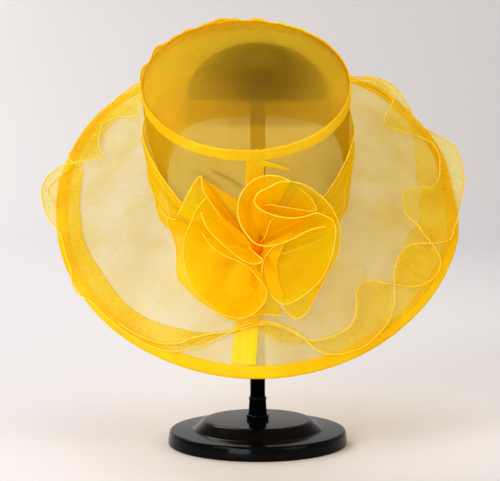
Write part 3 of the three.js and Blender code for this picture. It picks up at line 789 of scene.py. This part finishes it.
ruffleRows = [  # angle, first edge's share of the brim and lift, second edge's share and lift
    (1, 0.54, 5, 0.58, 3), (4, 0.53, 6, 0.65, 2.5), (7, 0.555, 7, 0.7, 2.5), (10, 0.595, 8, 0.725, 2.5),
    (13, 0.655, 8, 0.75, 2.5), (15, 0.71, 8, 0.77, 3), (17, 0.74, 8, 0.815, 4), (19, 0.755, 7, 0.87, 4),
    (22, 0.76, 7, 0.91, 4), (26, 0.755, 7, 0.935, 4), (30, 0.74, 8, 0.945, 4), (33, 0.69, 10, 0.938, 4),
    (36, 0.61, 12, 0.915, 5), (38, 0.54, 13, 0.905, 5), (41, 0.49, 14, 0.885, 6), (45, 0.5, 14, 0.82, 7),
    (48, 0.55, 12, 0.77, 8), (50, 0.62, 10, 0.72, 8), (52, 0.68, 7, 0.68, 9), (55, 0.8, 5, 0.62, 11),
    (60, 0.9, 4, 0.58, 13), (65, 0.93, 4, 0.58, 13), (70, 0.88, 5, 0.64, 11), (72, 0.82, 6, 0.72, 10),
    (74, 0.76, 9, 0.83, 7), (76, 0.69, 11, 0.91, 5), (79, 0.62, 12, 0.945, 5), (81, 0.54, 13, 0.95, 5),
    (85, 0.5, 14, 0.98, 5), (89, 0.48, 14, 1.01, 5), (93, 0.52, 13, 1.04, 6), (95, 0.62, 11, 1.06, 6),
    (96, 0.73, 10, 1.07, 6), (98, 0.81, 8, 1.09, 7), (102, 0.88, 6, 1.13, 8), (106, 0.91, 6, 1.145, 8),
    (111, 0.95, 6, 1.165, 8), (113, 0.945, 6, 1.17, 8), (115, 0.93, 6, 1.12, 7), (119, 0.8, 6, 1.04, 5),
    (122, 0.66, 8, 0.98, 4), (125, 0.58, 9, 0.97, 4), (128, 0.6, 9, 0.99, 4), (130, 0.66, 9, 1.02, 5),
    (133, 0.81, 9, 1.06, 6), (135, 0.94, 9, 1.09, 6), (137, 1.0, 9, 1.13, 5), (140, 1.06, 9, 1.17, 5),
    (144, 1.09, 8, 1.165, 4), (147, 1.03, 7, 1.1, 4), (149, 0.87, 7, 1.04, 4), (152, 0.76, 8, 1.0, 4),
    (160, 0.62, 10, 0.97, 5), (172, 0.66, 10, 1.02, 6), (184, 0.8, 8, 1.08, 7), (194, 0.72, 9, 1.03, 6),
    (204, 0.6, 10, 0.97, 6), (216, 0.74, 8, 1.04, 6), (224, 0.66, 8, 1.0, 5), (229, 0.56, 8, 0.97, 4),
    (232, 0.74, 6, 0.97, 4), (235, 0.82, 5, 0.98, 4), (240, 0.8, 5, 0.99, 4), (247, 0.71, 8, 1.0, 4),
    (251, 0.65, 10, 0.99, 5), (253, 0.81, 13, 0.93, 5), (254.5, 0.98, 14, 0.85, 4), (257, 1.08, 12, 0.79, 4),
    (261, 1.14, 9, 0.78, 3), (266, 1.13, 7, 0.78, 3), (272, 1.08, 6, 0.78, 3), (277, 1.01, 5, 0.77, 3),
    (280, 0.97, 4, 0.77, 3), (288, 0.96, 4, 0.765, 3), (294, 0.965, 4, 0.75, 3), (298, 1.01, 5, 0.74, 3),
    (302, 1.01, 5, 0.74, 3), (306, 0.965, 4, 0.745, 3), (312, 0.955, 4, 0.755, 3), (319, 0.95, 4, 0.76, 3),
    (328, 0.945, 4, 0.74, 3.5), (334, 0.92, 4, 0.712, 4), (337, 0.89, 4, 0.7, 4.5), (340, 0.83, 4, 0.69, 5),
    (344, 0.77, 4, 0.67, 6), (348, 0.68, 4, 0.64, 6), (352, 0.62, 4, 0.6, 6), (355, 0.59, 4, 0.57, 6),
    (358.5, 0.56, 4.5, 0.54, 6), (363, 0.53, 6, 0.515, 7),
]
ruffle = {"from": 1, "to": 363, "columns": 900, "rows": 20, "gathers": 0.4, "gatherLength": 11, "edge": 0.7}
towardsEye = np.array([0, -0.996, 0.087])


def raised(angle, share, lift):  # lifted off the brim along the line of sight, so that its place in the view holds
    ground = onStand(brimSurface(angle, share, 0))
    above = onStand(brimSurface(angle, share, 1)) - ground
    facing = np.maximum((above * towardsEye).sum(-1), 0.33)
    return ground + towardsEye * (lift / facing)[..., None]


def ribbonPoint(angle, v):
    firstShare, firstLift, secondShare, secondLift = (through(ruffleRows, k, angle) for k in (1, 2, 3, 4))
    middle = np.minimum((firstShare + secondShare) / 2, 0.955)
    ground = np.where(middle > hat["hemShare"] - 0.05, 1.6, 1.0)
    near, far = np.clip(1 - 2 * v, 0, 1), np.clip(2 * v - 1, 0, 1)
    share = middle + (firstShare - middle) * near + (secondShare - middle) * far
    lift = ground + (firstLift - ground) * near ** 1.6 + (secondLift - ground) * far ** 1.6
    run = np.radians(angle) * between(hat["openFront"], hat["brimRadius"], 0.85)
    uneven = np.sin(2 * math.pi * run / ruffle["gatherLength"] + 3 * np.sin(run / 23))
    gather = uneven * (0.5 + 0.5 * np.sin(run / 31)) * np.exp(-((v - 0.5) / 0.22) ** 2)
    return raised(angle, share, np.maximum(lift + ruffle["gathers"] * gather, 0.8))


ruffleSheet = cloth(
    "ruffleRibbon", ruffle["columns"], ruffle["rows"],
    lambda u, v: ribbonPoint(between(ruffle["from"], ruffle["to"], u), v), (0.045, 1.3), ribbonCloth,
)
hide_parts("ruffle")


def edgeAlong(name, v, start, finish):
    angles = np.linspace(start, finish, max(60, int((finish - start) * 4)))
    return rolled(name, ribbonPoint(angles, np.full_like(angles, v)), ruffle["edge"], edgeThread)


ruffleEdges = [
    edgeAlong("ruffleFirstEdge", 0.0, ruffle["from"], ruffle["to"]),
    edgeAlong("ruffleSecondEdge", 1.0, 17, 258),
]


doubled = {  # where the ribbon lies double: its angles, its inner and outer share of the brim, and the lift at both
    "left": {"angles": (257, 354), "outer": 0.925, "lift": (2.2, 1.3)},
    "back": {"angles": (226, 260), "inner": (0.72, 0.84), "outer": 0.96, "lift": (2.6, 1.6)},
    "right": {
        "angles": (38, 128), "outer": 0.935, "lift": (2.7, 1.5), "uneven": 0.02, "ruck": 0.35,
        "inner": [  # angle and share
            (38, 0.905), (42, 0.875), (46, 0.82), (50, 0.74), (54, 0.67), (60, 0.61), (66, 0.595), (72, 0.6),
            (76, 0.61), (80, 0.63), (86, 0.66), (92, 0.68), (98, 0.665), (104, 0.66), (110, 0.69), (116, 0.75),
            (122, 0.83), (128, 0.905),
        ],
    },
}


def foldLift(fold, v, ruck=0.0):
    return between(*fold["lift"], v) + (0.4 + ruck) * np.sin(math.pi * v)


def foldPlace(u, v):  # on the left the ribbon is folded under itself
    fold = doubled["left"]
    angle = between(*fold["angles"], u)
    inner = through(ruffleRows, 3, angle)
    outer = between(fold["outer"], inner + 0.035, ease(326, 350, angle))
    return raised(angle, between(inner, outer, v), foldLift(fold, v))


ruffleFold = cloth("ruffleFold", 300, 10, foldPlace, (0.03, 0.3), ribbonCloth)


def backFoldPlace(u, v):  # and once more at the upper left
    fold = doubled["back"]
    share = between(between(*fold["inner"], u), fold["outer"], v)
    return raised(between(*fold["angles"], u), share, foldLift(fold, v))


ruffleBackFold = cloth("ruffleBackFold", 120, 16, backFoldPlace, (0.027, 0.1), ribbonCloth)


def rightFoldPlace(u, v):  # on the right it lies doubled as far as the hem
    fold = doubled["right"]
    angle = between(*fold["angles"], u)
    uneven = fold["uneven"] * np.sin(0.42 * angle + 1.5 * np.sin(0.13 * angle)) * np.sin(math.pi * u)
    share = between(through(fold["inner"], 1, angle) + uneven, fold["outer"], v)
    ruck = fold["ruck"] * np.sin(1.1 * angle + 2 * np.sin(0.3 * angle) + 2 * v)
    return raised(angle, share, foldLift(fold, v, ruck))


ruffleRightFold = cloth("ruffleRightFold", 300, 20, rightFoldPlace, (0.035, 0.25), ribbonCloth)
foldLines = {  # the ribbon's second edge where it lies close to the first or is folded: angle and share of the brim
    "ruffleStartEdge": [
        (1, 0.555), (4, 0.547), (7, 0.573), (10, 0.613), (13, 0.67), (15, 0.723), (17, 0.815),
    ],
    "ruffleFrontEdge": [
        (363, 0.515), (358.5, 0.54), (355, 0.57), (351, 0.62), (345, 0.67), (340, 0.74), (337, 0.81), (333, 0.87),
        (328, 0.9), (318, 0.925),
    ],
    "ruffleLeftEdge": [(270, 0.99), (267, 1.04), (264, 1.08), (261, 1.05), (258, 0.98), (256, 0.93)],
}
for name, line in foldLines.items():
    table = [(k, *row) for k, row in enumerate(line)]
    at = np.linspace(0, len(line) - 1, 90)
    angles, shares = through(table, 1, at), through(table, 2, at)
    ruffleEdges.append(rolled(name, raised(angles, shares, np.full_like(at, 5.0)), ruffle["edge"], edgeThread))
print("ruffle made")


# Flower, in places across to the viewer's right, up, and out towards the viewer.

flower = {
    "x": 2.6, "y": -95, "z": 195.5, "heartAcross": -3, "heartUp": -4, "heartRadius": 9, "rootRadius": 5, "edge": 0.62,
    "folds": 2.6, "swell": 1.4, "gather": 0.2, "creases": 0.8,
}


def onFlower(points):
    return np.stack([
        flower["x"] + points[..., 0], flower["y"] - points[..., 2], flower["z"] + points[..., 1],
    ], axis=-1)


def spread(rows, at):  # a smooth line through places, with at from 0 to 1 by its length
    places = np.array(rows, float)
    steps = np.concatenate([[0], np.cumsum(np.sqrt(np.linalg.norm(np.diff(places, axis=0), axis=1)))])
    table = [(s, *place) for s, place in zip(steps, places)]
    fine = np.linspace(0, steps[-1], 400)
    dense = np.stack([through(table, k, fine) for k in (1, 2, 3)], axis=-1)
    run = np.concatenate([[0], np.cumsum(np.linalg.norm(np.diff(dense, axis=0), axis=1))])
    return np.stack([np.interp(at * run[-1], run, dense[:, k]) for k in range(3)], axis=-1)


petals = {  # root: where round the heart each one is gathered; rim: its rolled edge
    "petalCup": {
        "node": "petal_cup", "spot": (-6, -1, 2.5, -1.1), "pleats": 9, "deep": 0.8, "curl": 1.3,
        "rim": [
            (25, 57, 33), (16, 61, 31), (6, 62, 31), (-5, 59, 30), (-15, 50, 28), (-20, 38, 26), (-19, 23, 26),
            (-13, 12, 28), (-5, 4, 31), (4, 2, 33), (16, 4, 33), (29, 9, 31), (41, 15, 28), (55, 18, 23),
        ],
    },
    "petalLoop": {
        "node": "petal_loop", "spot": (2, 0, 2.2, -1.1), "pleats": 7, "deep": 0.7, "curl": 1.3,
        "fabric": airyCloth,
        "rim": [
            (24, 57, 36), (16, 57, 36), (6, 52, 35), (-3, 47, 33), (-6, 40, 32), (-3, 35, 34), (6, 30, 35),
            (16, 27, 35), (26, 26, 34), (36, 27, 33), (47, 30, 31), (55, 27, 28), (61, 24, 25),
        ],
    },
    "petalRightBack": {
        "node": "petal_right_back", "side": (60, -58, -17, -22), "pleats": 10, "deep": 1.1, "curl": 1.3,
        "fabric": airyCloth,
        "rim": [
            (24, 57, 28), (36, 54, 26), (47, 47, 22), (56, 39, 18), (62, 31, 14), (68, 16, 7), (68, 0, 0),
            (65, -14, -5), (57, -28, -11), (51, -42, -18), (45, -54, -24), (42, -62, -27), (32, -69, -30),
            (24, -64, -31), (19, -57, -31), (16, -48, -29),
        ],
    },
    "petalRightRound": {
        "node": "petal_right_round", "side": (10, -50, -13, -8), "pleats": 8, "deep": 1.0, "curl": 1.3,
        "fabric": airyCloth,
        "rim": [
            (61, 24, 19), (64, 16, 16), (63, 1, 10), (59, -16, 4), (52, -31, -2), (38, -45, -9), (22, -54, -14),
            (14, -51, -15), (6, -41, -14), (1, -29, -11), (1, -19, -6), (4, -10, -2), (9, -3, 2), (16, 2, 6),
        ],
    },
    "petalPointed": {
        "node": "petal_pointed", "side": (156, 136, -12, -10), "pleats": 5, "deep": 0.8, "curl": 1.3,
        "rim": [
            (-72, 27, 8), (-67, 38, 12), (-60, 51, 17), (-52, 61, 21), (-50, 49, 19), (-43, 37, 15),
            (-33, 23, 10), (-21, 12, 2), (-15, 6, -4),
        ],
    },
    "petalLeaf": {
        "node": "petal_leaf", "side": (165, 235, -7, -3), "pleats": 4, "deep": 0.6, "curl": 1.3,
        "rim": [
            (-52, 30, 24), (-46, 16, 24), (-35, 4, 22), (-25, -5, 18), (-16, -12, 13), (-8, -15.5, 10), (-1, -15, 9),
            (1, -12.5, 8), (-5, -7, 7), (-11, -1.5, 6),
        ],
    },
    "petalLeftLarge": {
        "node": "petal_left_large", "side": (150, 228, -17, -11), "pleats": 11, "deep": 1.2, "curl": 1.3,
        "rim": [
            (-47, 43, 16), (-55, 33, 10), (-62, 18, 3), (-67, 4, -4), (-68, -11, -9), (-64, -29, -14),
            (-56, -44, -19), (-45, -55, -23), (-35, -64, -26), (-20, -68, -27), (-9, -65, -25), (0, -57, -20),
            (5, -47, -14), (3, -37, -8), (-4, -28, -2), (-10, -20, 3), (-17, -15, 7), (-30, -9, 11), (-43, 0, 13),
            (-51, 11, 12),
        ],
    },
    "petalLeftBack": {
        "node": "petal_left_back", "side": (168, 280, -23, -25), "pleats": 9, "deep": 1.0, "curl": 1.3,
        "rim": [
            (-75, 21, -14), (-82, 22, -16), (-82, 15, -17), (-79, 9, -18), (-75, -8, -22), (-74, -32, -28),
            (-67, -41, -31), (-54, -54, -33), (-39, -64, -34), (-26, -71, -34), (-4, -66, -34), (8, -66, -35),
            (20, -67, -34),
        ],
    },
    "petalTopBack": {
        "node": "petal_top_back", "side": (150, 90, -14, -15), "pleats": 5, "deep": 0.9, "curl": 1.3, "edge": 0,
        "fabric": deepCloth,
        "rim": [
            (-24, 13, -4), (-34, 23, 2), (-43, 36, 8), (-50, 49, 12), (-51, 57, 14), (-43, 54, 14), (-36, 49, 13),
            (-27, 44, 13), (-21, 40, 13), (-14, 36, 11),
        ],
    },
}


innerFolds = {  # gathered folds of the same ribbon, deep in the flower
    "innerFoldHigh": {
        "spot": (2, 2, 3, -1.5), "pleats": 4, "deep": 0.5, "curl": 1.2, "edge": 0.4, "since": 0.55,
        "fabric": airyCloth,
        "rim": [
            (2, 36, 22), (9, 36.5, 23), (17, 35, 23), (30, 33, 24), (42, 31, 22), (47, 32, 20), (45, 38, 21),
            (41, 44, 23), (32, 51, 25),
        ],
    },
    "innerFoldLow": {
        "spot": (1, 1, 3, -1.5), "pleats": 3, "deep": 0.4, "curl": 1.2, "edge": 0.4, "edgeTo": 0.48, "since": 0.2,
        "fabric": flowerCloth,
        "rim": [(0, 3, 7), (4, 10, 15), (9, 24, 26), (20, 25, 28), (34, 24, 28), (47, 25, 25)],
    },
    "innerFoldLeft": {
        "side": (150, 225, -4, -3), "pleats": 4, "deep": 0.5, "curl": 1.2, "edge": 0,
        "rim": [(-40, 22, 12), (-33, 24, 14), (-22, 16, 14), (-14, 8, 12), (-9, -2, 9), (-6, -10, 6)],
    },
    "innerFoldRight": {
        "side": (30, -60, -9, -7), "pleats": 4, "deep": 0.6, "curl": 1.3, "edge": 0,
        "rim": [
            (30, 14, 12), (24, 8, 10), (18, -4, 4), (14, -18, -3), (16, -34, -9), (20, -48, -13), (12, -46, -13),
            (5, -38, -12),
        ],
    },
    "innerFoldEdge": {
        "side": (-12, -51, -20, -22), "pleats": 1, "deep": 0.1, "curl": 1.3, "edge": 0, "since": 0.94,
        "rim": [(63, -19, -5), (57, -28, -10), (51, -42, -17), (46, -52, -22), (43, -60, -26)],
    },
}


def petalPoint(petal, u, v):
    end = spread(petal["rim"], u)
    if "spot" in petal:
        across, up, radius, out = petal["spot"]
        away = np.arctan2(end[..., 1] - up, end[..., 0] - across)
        root = np.stack([across + radius * np.cos(away), up + radius * np.sin(away), np.full_like(u, out)], axis=-1)
    else:
        start, finish, outStart, outFinish = petal["side"]
        around = np.radians(between(start, finish, u))
        radius = flower["rootRadius"]
        root = np.stack([
            flower["heartAcross"] + radius * np.cos(around), flower["heartUp"] + radius * np.sin(around),
            between(outStart, outFinish, u) + 2,
        ], axis=-1)
    v = between(petal.get("since", 0), 1, v)
    points = between(root, end, v[..., None])
    points[..., 2] = between(root[..., 2], end[..., 2], v ** petal["curl"])
    free = np.sin(math.pi * np.clip(v, 0, 1)) ** 0.8
    folds = np.sin(2 * math.pi * (petal["pleats"] / 3 * u + 0.25 * v + petal["deep"]))
    swell = waves(points, 34, 71)
    gather = np.sin(2 * math.pi * (2 * petal["pleats"] * u + 0.2 * np.sin(9 * u))) * ease(0, 0.06, v) * (1 - v) ** 4
    loose = flower["folds"] * folds * free + flower["swell"] * swell * free
    points[..., 2] += petal["deep"] * (loose + flower["gather"] * gather)
    points[..., 2] += petal["deep"] * flower["creases"] * free * creases(points, 32, 77)
    return onFlower(points)


def petalEdge(name, petal):
    size = petal.get("edge", flower["edge"])
    if not size:
        return []
    at = np.linspace(0, petal.get("edgeTo", 1), 160)
    return [rolled(name + "Edge", petalPoint(petal, at, np.ones_like(at)), size, edgeThread)]


for name, petal in petals.items():
    fabric = petal.get("fabric", flowerCloth)
    made = cloth(name, 120, 36, lambda u, v, petal=petal: petalPoint(petal, u, v), (0.06, 0.2), fabric)
    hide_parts(petal["node"])
    petal["made"], petal["edges"] = made, petalEdge(name, petal)

for name, fold in innerFolds.items():
    fabric = fold.get("fabric", deepCloth)
    fold["made"] = cloth(name, 90, 30, lambda u, v, fold=fold: petalPoint(fold, u, v), (0.05, 0.12), fabric)
    fold["edges"] = petalEdge(name, fold)


def heartPlace(u, v):  # the gathered knot in the middle, its back on the hat band
    a = 2 * math.pi * u
    r = flower["heartRadius"] * np.sin(math.pi * np.clip(v, 0, 1)) ** 0.35 * (1 - 0.45 * ease(0.45, 1, v))
    r = np.where((v < 0.001) | (v > 0.999), 0, r)
    gather = 1 - 0.07 * (0.5 + 0.5 * np.sin(14 * a + 5 * v))
    across = flower["heartAcross"] + r * gather * np.cos(a)
    up = flower["heartUp"] + r * gather * np.sin(a)
    back = -28.4 + 0.94 * up
    return onFlower(np.stack([across, up, between(back, -4.5, v)], axis=-1))


heart = cloth("flowerHeart", 84, 30, heartPlace, (0.03, 0.06), heartCloth)
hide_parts("flower_heart")
print("flower made")


# Stage, light and the look of the picture

stage = {"half": 4.5, "wallAt": 3.3, "bend": 1.2, "wallHeight": 3.0, "color": (0.76, 0.73, 0.73), "rough": 0.7}


def backdropShape():
    shape = bmesh.new()
    bmesh.ops.create_grid(shape, x_segments=2, y_segments=60, size=0.5)
    flatRun = stage["wallAt"] + stage["half"] - stage["bend"]
    curve = stage["bend"] * math.pi / 2
    total = flatRun + curve + stage["wallHeight"]
    for vert in shape.verts:
        run = (vert.co.y + 0.5) * total
        if run < flatRun:
            y, z = -stage["half"] + run, 0
        elif run < flatRun + curve:
            a = (run - flatRun) / stage["bend"]
            y = stage["wallAt"] - stage["bend"] + stage["bend"] * math.sin(a)
            z = stage["bend"] * (1 - math.cos(a))
        else:
            y, z = stage["wallAt"], stage["bend"] + run - flatRun - curve
        vert.co = (vert.co.x * 2 * stage["half"], y, z)
    mesh = bpy.data.meshes.new("floor")
    shape.to_mesh(mesh)
    shape.free()
    mesh.shade_smooth()
    return mesh


def paintedFloor():
    material, tree, output = newMaterial("pale floor")
    shader = tree.nodes.new("ShaderNodeBsdfPrincipled")
    shader.inputs["Base Color"].default_value = (*stage["color"], 1)
    shader.inputs["Roughness"].default_value = stage["rough"]
    join(tree, shader.outputs["BSDF"], output.inputs["Surface"])
    return material


floor = linked("floor", backdropShape(), [paintedFloor()])

windowHeight = 0.6
lamps = {  # place and aim in metres, size, power and colour
    "key": ((-1.65, -1.7, 1.4), (0, 0, 0.25), 1.4, 34, (1, 0.99, 1)),
    "window": ((-0.78, -1.85, 0.37), (0, 0, 0.25), 0.9, 15, (0.95, 0.97, 1)),
    "fill": ((1.9, -1.6, 1.1), (0, 0, 0.25), 1.6, 25, (1, 0.84, 0.42)),
    "above": ((0.1, 0.3, 2.4), (0, 0.2, 0.2), 1.6, 14, (1, 1, 1)),
    "back": ((-0.8, 1.55, 1.9), (0, 0.05, 0.3), 1.0, 15, (1, 1, 1)),
    "wall": ((-1.9, 1.9, 0.9), (-1.1, 3.3, 0.2), 1.2, 17, (1, 0.99, 0.98)),
}
for name, (place, aim, size, power, color) in lamps.items():
    lamp = bpy.data.lights.new(name, "AREA")
    lamp.shape = "RECTANGLE" if name == "window" else "DISK"
    lamp.size = size
    lamp.size_y = windowHeight
    lamp.energy = power
    lamp.color = color
    lampObject = bpy.data.objects.new(name, lamp)
    lampObject.location = place
    lampObject.rotation_euler = (Vector(aim) - Vector(place)).to_track_quat("-Z", "Y").to_euler()
    bpy.context.collection.objects.link(lampObject)

room = {"color": (0.93, 0.94, 1.0), "strength": 0.45}
world = bpy.data.worlds.new("studio")
world.use_nodes = True
sky = world.node_tree.nodes["Background"]
sky.inputs["Color"].default_value = (*room["color"], 1)
sky.inputs["Strength"].default_value = room["strength"]
bpy.context.scene.world = world
bpy.context.scene.view_settings.view_transform = "Standard"
cycles = bpy.context.scene.cycles
cycles.transparent_max_bounces = 64  # each layer of open cloth is two crossings
cycles.max_bounces = 14
cycles.diffuse_bounces = 6


for name, petal in petals.items():
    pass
for name, fold in innerFolds.items():
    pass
